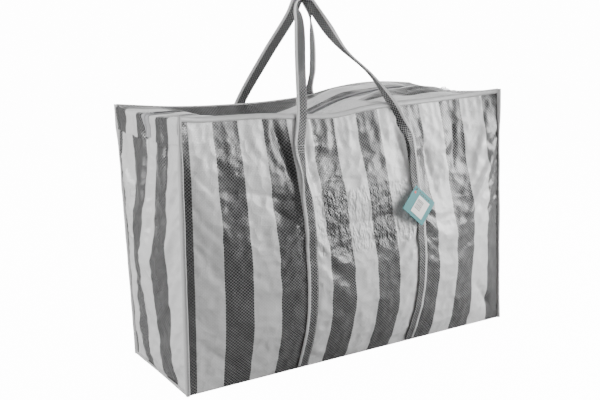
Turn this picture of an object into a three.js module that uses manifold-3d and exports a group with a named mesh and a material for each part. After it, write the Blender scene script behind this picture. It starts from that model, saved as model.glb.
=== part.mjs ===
// Large zipped carrying bag of woven, laminated striped cloth, with two long
// folded-strap handles and a square card tag. Millimetres, +Z up, the long side
// along X, the front facing -Y, the origin under the middle of the bag.
import * as THREE from 'three';
import { mergeVertices } from 'three/addons/utils/BufferGeometryUtils.js';
import Module from 'manifold-3d';

// ---- driving dimensions ----------------------------------------------------
const BAG_LENGTH = 720;        // over the end bands, along X
const BAG_DEPTH = 288;         // over the front and back cloth, along Y
const BAG_HEIGHT = 499;        // floor to the cut edge of the front and back cloth
const CLOTH = 1.0;             // laminated weave, with its inside film
const FACE_SWELL = 36;         // the filled front and back swell by this much
const END_SWELL = 22;          // and the two ends by this much
const SWELL_TOP = 430;         // height at which the swell of the faces runs out
const SWELL_CREST = 190;       // height of the fullest place
const FACE_CELLS = 14;         // flat cells that make up a swelling panel
const END_CELLS = 10;
const HEIGHT_CELLS = 24;
const GAP = 0.3;               // air left between pieces that touch

const SEAM_WIDTH = 9;          // pinched seam, seen on each face
const SEAM_THICKNESS = 1.0;
const HEM_HEIGHT = 10;         // folded binding along the front and back rims
const HEM_THICKNESS = 1.0;

const TOP_DROP = 6;            // the zipped top lies this far under the rim
const BAND_DEPTH = 48;         // the top's ends, folded down over the end cloth
const TOP_MARGIN = 40;         // strip of the top along each rim that stays flat when it opens
const FOLD_EDGE = 0.6;         // a top half starts this far from its fold
const FOLD_REACH = 1.1;        // and the margin ends this far from it
const FIXED_TOP = 65;          // length of the top that stays sewn at each end

const TAPE_WIDTH = 14;         // zip tape, each side
const TAPE_THICKNESS = 0.8;
const TAPE_TAIL = 42;          // how far the tapes run down the end cloth
const COIL_WIDTH = 3.0;
const COIL_HEIGHT = 2.4;
const COIL_SPACING = 2.0;      // clear way between the two rows
const STOP_LENGTH = 4;

const SLIDER_LENGTH = 16;
const SLIDER_WALL = 1.3;
const SLIDER_CLEARANCE = 0.4;
const SLIDER_WEB = 1.2;
const SLIDER_INSET = 24;       // slider centre from the bag's right end, zip closed
const BAIL_WIDTH = 2.4;
const BAIL_HEIGHT = 3.6;
const BAIL_LENGTH = 12;
const BAIL_THICKNESS = 1.3;

const PULL_LENGTH = 32;
const PULL_WIDTH = 8;
const PULL_THICKNESS = 1.2;
const PULL_SLOT_WIDTH = 4;
const PULL_SLOT_LENGTH = 7.6;

const STRAP_WIDTH = 22;
const STRAP_THICKNESS = 2.2;   // folded strip
const STRAP_SPACING = 256;     // between the two runs on one face
const STRAP_SHIFT = 5;         // both runs sit this far along +X from the middle
const STRAP_FOOT = 4;          // lower end above the floor
const STRAP_AIR = 0.5;         // between a sewn run and the swelling cloth
const EXIT_BELOW_RIM = 74;     // where the strap leaves the cloth
const HANDLE_RISE = 203;       // from the rim up to where the handles gather
const GATHER_SHIFT = -20;      // the gathered handles lean this far along X
const GATHER_RADIUS = 14;
const GATHER_GAP = 4;          // between the two straps where they gather
const FRONT_RIM_REACH = 128;   // half distance between the legs at the front rim
const BACK_RIM_REACH = 96;
const RIM_STANDOFF = 4.4;      // strap centre outside the cloth at the rim
const EXIT_GAP = 1.2;          // between the sewn run's end and the free strap
const EXIT_RISE = 12;          // straight stretch where the strap leaves the cloth
const HANDLE_STEPS = 96;

const TAG_SIDE = 57;
const TAG_THICKNESS = 0.8;
const TAG_CORNER = 3;
const TAG_HOLE = 2.2;
const TAG_HOLE_INSET = 6;      // hole centre from the corner
const TAG_TILT = 14;           // degrees that the lower corner stands off
const TAG_X = 124;
const TAG_BELOW_RIM = 173;     // the wire that the tag hangs on
const LOOP_RADIUS = 5;
const LOOP_WIRE = 0.6;
const LABEL_WIDTH = 38;
const LABEL_HEIGHT = 30;
const LABEL_THICKNESS = 0.3;

// ---- places worked out from them --------------------------------------------
const halfDepth = BAG_DEPTH / 2;
const bandFace = BAG_LENGTH / 2;
const endFace = bandFace - CLOTH - GAP;
const endInside = endFace - CLOTH;
const panelEnd = endInside - GAP;
const clothInside = halfDepth - CLOTH;
const seamFace = halfDepth + GAP + SEAM_THICKNESS;
const topSurface = BAG_HEIGHT - TOP_DROP + CLOTH / 2;
const topUnder = topSurface - CLOTH;
const topMiddle = topSurface - CLOTH / 2;
const fixedStart = bandFace - FIXED_TOP;
const flapHalf = fixedStart - GAP;
const hemInside = clothInside - GAP - HEM_THICKNESS;
const foldY = hemInside - TOP_MARGIN;
const rowEdge = COIL_SPACING / 2;
const tapeOuter = rowEdge + TAPE_WIDTH;
const tapeTop = topMiddle + TAPE_THICKNESS / 2;
const tapeUnder = topMiddle - TAPE_THICKNESS / 2;
const coilUnder = tapeTop + GAP;
const coilTop = coilUnder + COIL_HEIGHT;
const bandSide = halfDepth - SEAM_WIDTH + GAP;
const sliderX = bandFace - SLIDER_INSET;
const sliderPlate = coilTop + SLIDER_CLEARANCE;
const sliderTop = sliderPlate + SLIDER_WALL;
const pullZ = sliderTop + PULL_THICKNESS / 2 + GAP;
const strapInner = halfDepth + STRAP_AIR;
const strapMiddle = strapInner + STRAP_THICKNESS / 2;
const strapOuter = strapInner + STRAP_THICKNESS;
const faceSeam = bandFace - SEAM_WIDTH - GAP;
const endSeam = halfDepth - SEAM_WIDTH - GAP;
const endSwellTop = topSurface - BAND_DEPTH - CLOTH;
const gatherY = (STRAP_WIDTH + GATHER_GAP) / 2;
const strapExit = BAG_HEIGHT - EXIT_BELOW_RIM;
const handleTop = BAG_HEIGHT + HANDLE_RISE;
const tagZ = BAG_HEIGHT - TAG_BELOW_RIM;

// ---- finishes -----------------------------------------------------------------
const finishes = {
  cloth: { color: 0xb9b9b9, roughness: 0.35, metalness: 0 },
  hem: { color: 0xcfcfcf, roughness: 0.45, metalness: 0 },
  strap: { color: 0x6f6f6f, roughness: 0.5, metalness: 0 },
  tape: { color: 0xa8a8a8, roughness: 0.9, metalness: 0 },
  coil: { color: 0x8c8c8c, roughness: 0.5, metalness: 0 },
  slider: { color: 0x8f8f8f, roughness: 0.35, metalness: 0.8 },
  card: { color: 0x33aaa8, roughness: 0.45, metalness: 0 },
  label: { color: 0xf2f2ee, roughness: 0.6, metalness: 0 },
  loop: { color: 0xe8e8e8, roughness: 0.2, metalness: 0 },
};

const wasm = await Module();
wasm.setup();

const X = new THREE.Vector3(1, 0, 0);
const Y = new THREE.Vector3(0, 1, 0);
const Z = new THREE.Vector3(0, 0, 1);

// ---- helpers --------------------------------------------------------------------
function piece(name, geometry, finish) {
  const mesh = new THREE.Mesh(geometry, new THREE.MeshStandardMaterial(finishes[finish]));
  mesh.name = name;
  return mesh;
}

// A box given by its low and high corners.
function slab(low, high) {
  const size = high.map((value, i) => value - low[i]);
  const geometry = new THREE.BoxGeometry(...size);
  geometry.translate(...high.map((value, i) => (value + low[i]) / 2));
  return geometry;
}

function outline(points) {
  return new THREE.Shape(points.map(([a, b]) => new THREE.Vector2(a, b)));
}

// A section drawn in Y and Z, run along X from start to end.
function alongX(shape, start, end) {
  const geometry = new THREE.ExtrudeGeometry(shape, { depth: end - start, bevelEnabled: false });
  geometry.applyMatrix4(new THREE.Matrix4().makeBasis(Y, Z, X));
  geometry.translate(start, 0, 0);
  return geometry;
}

// A section drawn in X and Z, run along Y from start to end.
function alongY(shape, start, end) {
  const geometry = new THREE.ExtrudeGeometry(shape, { depth: end - start, bevelEnabled: false });
  geometry.applyMatrix4(new THREE.Matrix4().makeBasis(X, Z, Y.clone().negate()));
  geometry.translate(0, end, 0);
  return geometry;
}

function alongZ(shape, start, end) {
  const geometry = new THREE.ExtrudeGeometry(shape, { depth: end - start, bevelEnabled: false });
  geometry.translate(0, 0, start);
  return geometry;
}

function solid(geometry) {
  const bare = geometry.clone();
  bare.deleteAttribute('normal');
  bare.deleteAttribute('uv');
  const merged = mergeVertices(bare, 1e-4);
  return new wasm.Manifold(new wasm.Mesh({
    numProp: 3,
    vertProperties: new Float32Array(merged.attributes.position.array),
    triVerts: new Uint32Array(merged.index.array),
  }));
}

function joined(geometries) {
  const whole = geometries.map(solid).reduce((a, b) => a.add(b)).getMesh();
  const geometry = new THREE.BufferGeometry();
  geometry.setAttribute('position', new THREE.BufferAttribute(whole.vertProperties, 3));
  geometry.setIndex(new THREE.BufferAttribute(whole.triVerts, 1));
  geometry.computeVertexNormals();
  return geometry;
}

// ---- the swell of the filled bag -----------------------------------------------------
// Share of the swell at a height: 0 at the foot, 1 at the crest, 0 again from the top on.
function swellShare(z, crest, top) {
  const rise = Math.log(0.5) / Math.log(crest / top);
  const along = Math.min(Math.max(z / top, 0), 1) ** rise;
  return Math.max(Math.sin(Math.PI * along), 0) ** 1.5;
}

// Share of the swell across a panel: 1 in the middle, 0 from the seams on.
function acrossShare(place, seam) {
  return Math.max(1 - (place / seam) ** 2, 0);
}

function faceSwell(x, z) {
  return FACE_SWELL * acrossShare(x, faceSeam) * swellShare(z, SWELL_CREST, SWELL_TOP);
}

function endSwell(y, z) {
  const top = endSwellTop - SEAM_WIDTH;
  return END_SWELL * acrossShare(y, endSeam) * swellShare(z - SEAM_WIDTH, top / 2, top);
}

// A slab cut into cells, with every corner moved by what shift gives for its place.
function swollenSlab(low, high, cells, shift) {
  const size = high.map((value, i) => value - low[i]);
  const geometry = new THREE.BoxGeometry(...size, ...cells);
  geometry.translate(...high.map((value, i) => (value + low[i]) / 2));
  const place = geometry.attributes.position;
  for (let i = 0; i < place.count; i += 1) {
    const point = new THREE.Vector3().fromBufferAttribute(place, i);
    point.add(shift(point));
    place.setXYZ(i, point.x, point.y, point.z);
  }
  geometry.computeVertexNormals();
  return geometry;
}

// Spreads a panel's cells so that the outermost ones are as wide as the seams on it.
function spread(place, edge, seam, cells) {
  const inner = edge * (1 - 2 / cells);
  return Math.abs(place) > inner + GAP ? place : (place * seam) / inner;
}

// ---- the sewn shell ----------------------------------------------------------------
function bodyPanels() {
  const base = slab([-panelEnd, -clothInside + GAP, 0], [panelEnd, clothInside - GAP, CLOTH]);
  const group = [piece('base_panel', base, 'cloth')];
  for (const [side, name] of [[-1, 'front_panel'], [1, 'back_panel']]) {
    const faces = [side * halfDepth, side * clothInside].sort((a, b) => a - b);
    const wall = swollenSlab(
      [-panelEnd, faces[0], 0],
      [panelEnd, faces[1], BAG_HEIGHT],
      [FACE_CELLS, 1, HEIGHT_CELLS],
      (point) => {
        const x = spread(point.x, panelEnd, faceSeam, FACE_CELLS);
        return new THREE.Vector3(x - point.x, side * faceSwell(x, point.z), 0);
      },
    );
    group.push(piece(name, wall, 'cloth'));
  }
  for (const [side, name] of [[-1, 'left_end_panel'], [1, 'right_end_panel']]) {
    const faces = [side * endFace, side * endInside].sort((a, b) => a - b);
    const wall = swollenSlab(
      [faces[0], -halfDepth, 0],
      [faces[1], halfDepth, topUnder - GAP],
      [1, END_CELLS, HEIGHT_CELLS],
      (point) => {
        const y = spread(point.y, halfDepth, endSeam, END_CELLS);
        return new THREE.Vector3(side * endSwell(y, point.z), y - point.y, 0);
      },
    );
    group.push(piece(name, wall, 'cloth'));
  }
  return group;
}

// Pinched seam up one corner: one flat strip on the face and one turned round on the end.
function cornerSeam(endSide, faceSide, corner) {
  const strip = (x, y) => {
    const [x0, x1] = x.map((value) => value * endSide).sort((a, b) => a - b);
    const [y0, y1] = y.map((value) => value * faceSide).sort((a, b) => a - b);
    return slab([x0, y0, 0], [x1, y1, BAG_HEIGHT]);
  };
  const faceBack = seamFace - SEAM_THICKNESS;
  const onFace = strip([bandFace - SEAM_WIDTH, bandFace], [faceBack, seamFace]);
  const onEnd = strip(
    [bandFace - SEAM_THICKNESS, bandFace],
    [halfDepth - SEAM_WIDTH + 2 * GAP, faceBack - GAP],
  );
  return [piece(`${corner}_corner_seam`, onFace, 'hem'), piece(`${corner}_corner_turn`, onEnd, 'hem')];
}

function seams() {
  const group = [];
  for (const [endSide, endName] of [[-1, 'left'], [1, 'right']]) {
    for (const [faceSide, faceName] of [[-1, 'front'], [1, 'back']]) {
      group.push(...cornerSeam(endSide, faceSide, `${endName}_${faceName}`));
    }
    const faces = [endSide * bandFace, endSide * (bandFace - SEAM_THICKNESS)].sort((a, b) => a - b);
    const reach = halfDepth - SEAM_WIDTH;
    const strip = slab([faces[0], -reach, 0], [faces[1], reach, SEAM_WIDTH]);
    group.push(piece(`${endName}_base_seam`, strip, 'hem'));
  }
  return group;
}

// Binding folded over a rim: a U section upside down.
function rimHem(side, name) {
  const outer = halfDepth + GAP + HEM_THICKNESS;
  const top = BAG_HEIGHT + GAP + HEM_THICKNESS;
  const foot = BAG_HEIGHT - HEM_HEIGHT;
  const section = [
    [outer, foot],
    [outer, top],
    [hemInside, top],
    [hemInside, foot],
    [clothInside - GAP, foot],
    [clothInside - GAP, BAG_HEIGHT + GAP],
    [halfDepth + GAP, BAG_HEIGHT + GAP],
    [halfDepth + GAP, foot],
  ].map(([y, z]) => [y * side, z]);
  const reach = bandFace - SEAM_WIDTH - GAP;
  return piece(name, alongX(outline(section), -reach, reach), 'hem');
}

// ---- the zipped top --------------------------------------------------------------------
// The part of the top that stays sewn at an end: it lies flat, then folds down over the end cloth.
function endBand(endSide, faceSide, name) {
  const lower = topSurface - BAND_DEPTH;
  const section = [
    [fixedStart, topUnder],
    [bandFace - CLOTH, topUnder],
    [bandFace - CLOTH, lower],
    [bandFace, lower],
    [bandFace, topSurface],
    [fixedStart, topSurface],
  ].map(([x, z]) => [x * endSide, z]);
  const reach = [faceSide * bandSide, faceSide * (tapeOuter + GAP)].sort((a, b) => a - b);
  return piece(name, alongY(outline(section), ...reach), 'cloth');
}

function endTape(endSide, faceSide, name) {
  const section = [
    [fixedStart, tapeUnder],
    [bandFace - TAPE_THICKNESS, tapeUnder],
    [bandFace - TAPE_THICKNESS, tapeTop - TAPE_TAIL],
    [bandFace, tapeTop - TAPE_TAIL],
    [bandFace, tapeTop],
    [fixedStart, tapeTop],
  ].map(([x, z]) => [x * endSide, z]);
  const reach = [faceSide * rowEdge, faceSide * tapeOuter].sort((a, b) => a - b);
  return piece(name, alongY(outline(section), ...reach), 'tape');
}

// A row of zip coil on its tape, with its two upper edges rounded off.
function coilRow(faceSide, start, end, name) {
  const outer = rowEdge + COIL_WIDTH;
  const round = COIL_HEIGHT * 0.3;
  const section = [
    [rowEdge, coilUnder],
    [outer, coilUnder],
    [outer, coilTop - round],
    [outer - round, coilTop],
    [rowEdge + round, coilTop],
    [rowEdge, coilTop - round],
  ].map(([y, z]) => [y * faceSide, z]);
  return piece(name, alongX(outline(section), start, end), 'coil');
}

function zipEnds() {
  const group = [];
  const stopStart = sliderX + SLIDER_LENGTH / 2 + 2;
  for (const [endSide, endName] of [[-1, 'left'], [1, 'right']]) {
    for (const [faceSide, faceName] of [[-1, 'front'], [1, 'back']]) {
      group.push(endBand(endSide, faceSide, `${endName}_${faceName}_end_band`));
      group.push(endTape(endSide, faceSide, `${endName}_${faceName}_end_tape`));
      const reach = [endSide * fixedStart, endSide * (stopStart - GAP)].sort((a, b) => a - b);
      group.push(coilRow(faceSide, ...reach, `${endName}_${faceName}_end_coil`));
    }
    const half = rowEdge + COIL_WIDTH;
    const reach = [endSide * stopStart, endSide * (stopStart + STOP_LENGTH)].sort((a, b) => a - b);
    const stop = slab([reach[0], -half, coilUnder], [reach[1], half, coilTop]);
    group.push(piece(`${endName}_zip_stop`, stop, 'slider'));
  }
  return group;
}

function topHalf(faceSide, faceName) {
  const span = (inner, outer, low, high) => {
    const reach = [faceSide * inner, faceSide * outer].sort((a, b) => a - b);
    return slab([-flapHalf, reach[0], low], [flapHalf, reach[1], high]);
  };
  const margin = span(foldY + FOLD_REACH, hemInside - GAP, topUnder, topSurface);
  const panel = span(tapeOuter + GAP, foldY - FOLD_EDGE, topUnder, topSurface);
  return [
    piece(`${faceName}_top_margin`, margin, 'cloth'),
    piece(`${faceName}_top_panel`, panel, 'cloth'),
    piece(`${faceName}_zip_tape`, span(rowEdge, tapeOuter, tapeUnder, tapeTop), 'tape'),
    coilRow(faceSide, -flapHalf, flapHalf, `${faceName}_zip_coil`),
  ];
}

// Two plates joined by a thin web that runs between the rows, side lips, and the bail for the pull.
function zipSlider() {
  const half = rowEdge + COIL_WIDTH + SLIDER_CLEARANCE;
  const outer = half + SLIDER_WALL;
  const ends = [sliderX - SLIDER_LENGTH / 2, sliderX + SLIDER_LENGTH / 2];
  const lipFoot = tapeTop + SLIDER_CLEARANCE;
  const lowerTop = tapeUnder - SLIDER_CLEARANCE;
  const section = outline([
    [-outer, lipFoot],
    [-half, lipFoot],
    [-half, sliderPlate],
    [-SLIDER_WEB / 2, sliderPlate],
    [-SLIDER_WEB / 2, lowerTop],
    [-outer, lowerTop],
    [-outer, lowerTop - SLIDER_WALL],
    [outer, lowerTop - SLIDER_WALL],
    [outer, lowerTop],
    [SLIDER_WEB / 2, lowerTop],
    [SLIDER_WEB / 2, sliderPlate],
    [half, sliderPlate],
    [half, lipFoot],
    [outer, lipFoot],
    [outer, sliderTop],
    [-outer, sliderTop],
  ]);
  const body = alongX(section, ...ends);
  const foot = sliderTop - SLIDER_WALL / 2;
  const crown = sliderTop + BAIL_HEIGHT;
  const reach = BAIL_LENGTH / 2;
  const bail = outline([
    [sliderX - reach, foot],
    [sliderX - reach + BAIL_THICKNESS, foot],
    [sliderX - reach + BAIL_THICKNESS, crown - BAIL_THICKNESS],
    [sliderX + reach - BAIL_THICKNESS, crown - BAIL_THICKNESS],
    [sliderX + reach - BAIL_THICKNESS, foot],
    [sliderX + reach, foot],
    [sliderX + reach, crown - BAIL_THICKNESS],
    [sliderX + reach - BAIL_THICKNESS, crown],
    [sliderX - reach + BAIL_THICKNESS, crown],
    [sliderX - reach, crown - BAIL_THICKNESS],
  ]);
  const arch = alongY(bail, -BAIL_WIDTH / 2, BAIL_WIDTH / 2);
  return piece('zip_slider', joined([body, arch]), 'slider');
}

// Flat tab with a long slot: its end bar lies under the bail, and the bail passes through the slot.
function zipPull() {
  const bar = PULL_THICKNESS / 2;
  const half = PULL_WIDTH / 2;
  const far = sliderX - PULL_LENGTH;
  const tab = new THREE.Shape();
  tab.moveTo(sliderX + bar, -half);
  tab.lineTo(sliderX + bar, half);
  tab.lineTo(far + half, half);
  tab.absarc(far + half, 0, half, Math.PI / 2, Math.PI * 1.5, false);
  tab.closePath();
  const slot = new THREE.Path();
  const slotHalf = PULL_SLOT_WIDTH / 2;
  slot.moveTo(sliderX - bar, -slotHalf);
  slot.lineTo(sliderX - bar - PULL_SLOT_LENGTH, -slotHalf);
  slot.lineTo(sliderX - bar - PULL_SLOT_LENGTH, slotHalf);
  slot.lineTo(sliderX - bar, slotHalf);
  slot.closePath();
  tab.holes.push(slot);
  const geometry = new THREE.ExtrudeGeometry(tab, {
    depth: PULL_THICKNESS,
    bevelEnabled: false,
    curveSegments: 10,
  });
  geometry.translate(0, 0, pullZ - PULL_THICKNESS / 2);
  return piece('zip_pull', geometry, 'slider');
}

// ---- the handles ---------------------------------------------------------------------------
// A strap's route with its own frames: the width turns from along X at the cloth
// to along Y where the handles gather.
class StrapPath extends THREE.CatmullRomCurve3 {
  constructor(points, turn) {
    super(points, false, 'centripetal');
    this.turn = turn;
  }

  computeFrenetFrames(segments) {
    const tangents = [];
    const normals = [];
    const binormals = [];
    for (let i = 0; i <= segments; i += 1) {
      const share = i / segments;
      const tangent = this.getTangentAt(share);
      const leg = 1 - Math.abs(2 * share - 1);
      const angle = (Math.PI / 2) * THREE.MathUtils.smoothstep(leg, 0.25, 0.85);
      const wanted = new THREE.Vector3(Math.cos(angle), this.turn * Math.sin(angle), 0);
      const across = wanted.clone().addScaledVector(tangent, -wanted.dot(tangent)).normalize();
      tangents.push(tangent);
      normals.push(across);
      binormals.push(new THREE.Vector3().crossVectors(tangent, across));
    }
    return { tangents, normals, binormals };
  }
}

function handlePoints(side, rimReach) {
  const exit = (hand) => (hand * STRAP_SPACING) / 2 + STRAP_SHIFT;
  const leg = (hand) => [
    [exit(hand), strapMiddle, strapExit],
    [exit(hand), strapMiddle, strapExit + EXIT_RISE],
    [(exit(hand) + hand * rimReach) * 0.5, strapMiddle + 0.8, strapExit + 38],
    [hand * rimReach, halfDepth + RIM_STANDOFF, BAG_HEIGHT - 4],
    [hand * (rimReach - 4), halfDepth + RIM_STANDOFF - 1, BAG_HEIGHT + 6],
    [hand * rimReach * 0.64 + GATHER_SHIFT * 0.33, halfDepth * 0.7, BAG_HEIGHT + 74],
    [hand * rimReach * 0.27 + GATHER_SHIFT * 0.75, halfDepth * 0.34, handleTop - 58],
    [GATHER_SHIFT + hand * GATHER_RADIUS, gatherY, handleTop - GATHER_RADIUS],
  ];
  const crown = [GATHER_SHIFT, gatherY, handleTop];
  const route = [...leg(-1), crown, ...leg(1).reverse()];
  return route.map(([x, y, z]) => new THREE.Vector3(x, y * side, z));
}

function handle(side, rimReach, name) {
  const path = new StrapPath(handlePoints(side, rimReach), side);
  const w = STRAP_WIDTH / 2;
  const t = STRAP_THICKNESS / 2;
  const section = outline([[-w, -t], [w, -t], [w, t], [-w, t]]);
  const geometry = new THREE.ExtrudeGeometry(section, {
    steps: HANDLE_STEPS,
    extrudePath: path,
    bevelEnabled: false,
  });
  return piece(name, geometry, 'strap');
}

function sewnStraps() {
  const group = [];
  for (const [side, faceName] of [[-1, 'front'], [1, 'back']]) {
    for (const [hand, handName] of [[-1, 'left'], [1, 'right']]) {
      const faces = [side * strapInner, side * strapOuter].sort((a, b) => a - b);
      const middle = (hand * STRAP_SPACING) / 2 + STRAP_SHIFT;
      const run = swollenSlab(
        [middle - STRAP_WIDTH / 2, faces[0], STRAP_FOOT],
        [middle + STRAP_WIDTH / 2, faces[1], strapExit - EXIT_GAP],
        [2, 1, HEIGHT_CELLS],
        (point) => new THREE.Vector3(0, side * faceSwell(point.x, point.z), 0),
      );
      group.push(piece(`${faceName}_${handName}_sewn_strap`, run, 'strap'));
    }
  }
  return group;
}

// ---- the tag -------------------------------------------------------------------------------
// The card hangs corner up on a wire loop, with its lower corner standing off.
function hangTag() {
  const loopY = -(strapOuter + faceSwell(TAG_X, tagZ) + GAP + LOOP_WIRE + LOOP_RADIUS);
  const loop = new THREE.TorusGeometry(LOOP_RADIUS, LOOP_WIRE, 8, 24);
  loop.rotateY(Math.PI / 2);
  loop.translate(TAG_X, loopY, tagZ + LOOP_RADIUS);

  const hang = TAG_HOLE - LOOP_WIRE - GAP;
  const reach = TAG_SIDE / 2 - TAG_CORNER;
  const card = new THREE.Shape();
  for (const [a, b, start] of [[1, 1, 0], [-1, 1, 0.5], [-1, -1, 1], [1, -1, 1.5]]) {
    card.absarc(a * reach, b * reach, TAG_CORNER, start * Math.PI, (start + 0.5) * Math.PI, false);
  }
  card.closePath();
  const hole = new THREE.Path();
  const holeAt = TAG_SIDE / 2 - TAG_HOLE_INSET;
  hole.absarc(holeAt, holeAt, TAG_HOLE, 0, Math.PI * 2, true);
  card.holes.push(hole);
  const board = new THREE.ExtrudeGeometry(card, {
    depth: TAG_THICKNESS,
    bevelEnabled: false,
    curveSegments: 6,
  });
  board.translate(0, 0, -TAG_THICKNESS / 2);
  const sticker = new THREE.BoxGeometry(LABEL_WIDTH, LABEL_HEIGHT, LABEL_THICKNESS);
  sticker.translate(-2, -4, TAG_THICKNESS / 2 + GAP + LABEL_THICKNESS / 2);

  const group = new THREE.Group();
  const tag = [piece('tag_card', board, 'card'), piece('tag_label', sticker, 'label')];
  for (const mesh of tag) {
    mesh.geometry.rotateZ(Math.PI / 4);
    mesh.geometry.translate(0, -holeAt * Math.SQRT2 - hang, 0);
    mesh.geometry.rotateX(Math.PI / 2 - THREE.MathUtils.degToRad(TAG_TILT));
    mesh.geometry.translate(TAG_X, loopY, tagZ);
    group.add(mesh);
  }
  group.add(piece('tag_loop', loop, 'loop'));
  return group;
}

// ---- the assembly ----------------------------------------------------------------------------
const bag = new THREE.Group();
bag.name = 'striped_zip_bag';
bag.add(...bodyPanels());
bag.add(...seams());
bag.add(rimHem(-1, 'front_rim_hem'), rimHem(1, 'back_rim_hem'));
bag.add(...zipEnds());
bag.add(...topHalf(-1, 'front'));
bag.add(...topHalf(1, 'back'));
bag.add(zipSlider(), zipPull());
bag.add(...sewnStraps());
bag.add(handle(-1, FRONT_RIM_REACH, 'front_handle'));
bag.add(handle(1, BACK_RIM_REACH, 'back_handle'));
bag.add(hangTag());

export default bag;
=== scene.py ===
import math

import bpy
import numpy as np
from mathutils import Matrix, Vector
from mathutils.bvhtree import BVHTree


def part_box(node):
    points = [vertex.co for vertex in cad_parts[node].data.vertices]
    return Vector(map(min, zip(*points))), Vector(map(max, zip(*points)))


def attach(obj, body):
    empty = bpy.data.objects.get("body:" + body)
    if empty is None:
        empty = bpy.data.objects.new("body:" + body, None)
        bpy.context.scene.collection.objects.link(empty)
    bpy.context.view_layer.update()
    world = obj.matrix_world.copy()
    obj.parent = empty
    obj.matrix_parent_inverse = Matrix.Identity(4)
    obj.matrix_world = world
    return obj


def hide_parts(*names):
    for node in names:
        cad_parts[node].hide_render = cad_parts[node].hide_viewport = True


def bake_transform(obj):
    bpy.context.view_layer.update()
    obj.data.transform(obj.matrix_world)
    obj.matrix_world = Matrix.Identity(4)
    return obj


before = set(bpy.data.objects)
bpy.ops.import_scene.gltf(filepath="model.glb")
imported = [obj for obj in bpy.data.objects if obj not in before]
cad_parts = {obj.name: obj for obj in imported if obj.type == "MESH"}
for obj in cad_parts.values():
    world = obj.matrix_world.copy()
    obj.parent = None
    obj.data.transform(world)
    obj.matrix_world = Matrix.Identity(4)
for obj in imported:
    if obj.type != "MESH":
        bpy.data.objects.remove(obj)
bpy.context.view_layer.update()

# ---- sizes, in metres --------------------------------------------------------------
END = 0.358            # corner seams, from the middle
HEIGHT = 0.499         # rims at the corners
STRIPE = 0.051         # one stripe of the cloth
FIRST_STRIPE = 0.016   # dark edge before the first light stripe
STRAP_PLACES = (-0.123, 0.133)  # middles of the two sewn straps on each face
STRAP_WIDTH = 0.022
STRAP_THICK = 0.0022
STRAP_EXIT = 0.425     # height where a strap leaves the cloth
TOP_HALF = 0.144       # width of one half of the top, from zip to rim
TAPE = 0.003           # one woven tape

BACKDROP = 14.0        # how bright the floor and backdrop look
AMBIENT = 0.20         # soft light from all round


# ---- small tools ---------------------------------------------------------------------
def through(knots, at):
    """A smooth curve through (place, value) knots."""
    xs, ys = np.array(knots, float).T
    slope = np.gradient(ys, xs)
    at = np.clip(np.asarray(at, float), xs[0], xs[-1])
    i = np.clip(np.searchsorted(xs, at) - 1, 0, len(xs) - 2)
    step = xs[i + 1] - xs[i]
    t = (at - xs[i]) / step
    rise = t * (1 - t) ** 2 * step * slope[i] - t * t * (1 - t) * step * slope[i + 1]
    return (1 + 2 * t) * (1 - t) ** 2 * ys[i] + t * t * (3 - 2 * t) * ys[i + 1] + rise


def ease(t):
    """A smooth step from 0 to 1."""
    t = np.clip(t, 0, 1)
    return t * t * (3 - 2 * t)


def wave(u, v, cell, seed):
    """Smooth noise from -1 to 1 over a plane, with bumps about one cell across."""
    grid = np.random.default_rng(seed).uniform(-1, 1, (97, 97))
    a, b = np.asarray(u) / cell + 40.3, np.asarray(v) / cell + 40.7
    i, j = np.floor(a).astype(int), np.floor(b).astype(int)
    s, t = ease(a - i), ease(b - j)
    i, j = i % 96, j % 96
    low = grid[i, j] * (1 - s) + grid[i + 1, j] * s
    high = grid[i, j + 1] * (1 - s) + grid[i + 1, j + 1] * s
    return low * (1 - t) + high * t


def crumple(u, v, cell, seed):
    """Sharp-ridged noise from -1 to 1, like creased film."""
    return 1 - 2 * np.abs(wave(u, v, cell, seed) + 0.5 * wave(u, v, cell * 0.5, seed + 1))


def crease(u, v, ends, width, depth):
    """A fold line between two points, pushed in by depth and soft on both sides."""
    a, b = np.array(ends[0]), np.array(ends[1])
    along = b - a
    share = ((u - a[0]) * along[0] + (v - a[1]) * along[1]) / along.dot(along)
    near = np.clip(share, 0, 1)
    far = np.hypot(u - a[0] - near * along[0], v - a[1] - near * along[1])
    taper = np.sin(np.pi * np.clip(share, 0.02, 0.98)) ** 0.5
    return -depth * taper * np.exp(-far / width)


def from_strap(x):
    """Distance from the middle of the nearer sewn strap."""
    return np.minimum(*(np.abs(x - place) for place in STRAP_PLACES))


def held_by_strap(x):
    """How freely the cloth creases: little under a sewn strap, fully beside it."""
    return 0.25 + 0.75 * ease((from_strap(x) - STRAP_WIDTH / 2) / 0.012)


def normals_of(points):
    """Unit normals of a grid of points."""
    across = np.gradient(points, axis=0)
    up = np.gradient(points, axis=1)
    normal = np.cross(across, up)
    return normal / np.maximum(np.linalg.norm(normal, axis=-1, keepdims=True), 1e-9)


def finer(grid, times):
    """The same grid with more rows and columns."""
    n, m = grid.shape[:2]
    for axis, count in ((0, n), (1, m)):
        at = np.linspace(0, count - 1, (count - 1) * times + 1)
        i = np.clip(np.floor(at).astype(int), 0, count - 2)
        t = at - i
        shape = [1, 1, 1]
        shape[axis] = -1
        t = t.reshape(shape)
        take = lambda k: np.take(grid, np.clip(k, 0, count - 1), axis=axis)
        a, b, c, d = take(i - 1), take(i), take(i + 1), take(i + 2)
        grid = 0.5 * (2 * b + (c - a) * t + (2 * a - 5 * b + 4 * c - d) * t ** 2
                      + (3 * b - a - 3 * c + d) * t ** 3)
    return grid


def link(obj):
    """Puts a new object in the scene."""
    bpy.context.scene.collection.objects.link(obj)
    return obj


def grid_faces(n, m, flip=False):
    """Quads of a grid of n by m points."""
    i, j = np.meshgrid(np.arange(n - 1), np.arange(m - 1), indexing="ij")
    a = (i * m + j).ravel()
    quads = np.stack([a, a + m, a + m + 1, a + 1], 1)
    return quads[:, ::-1] if flip else quads


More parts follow.
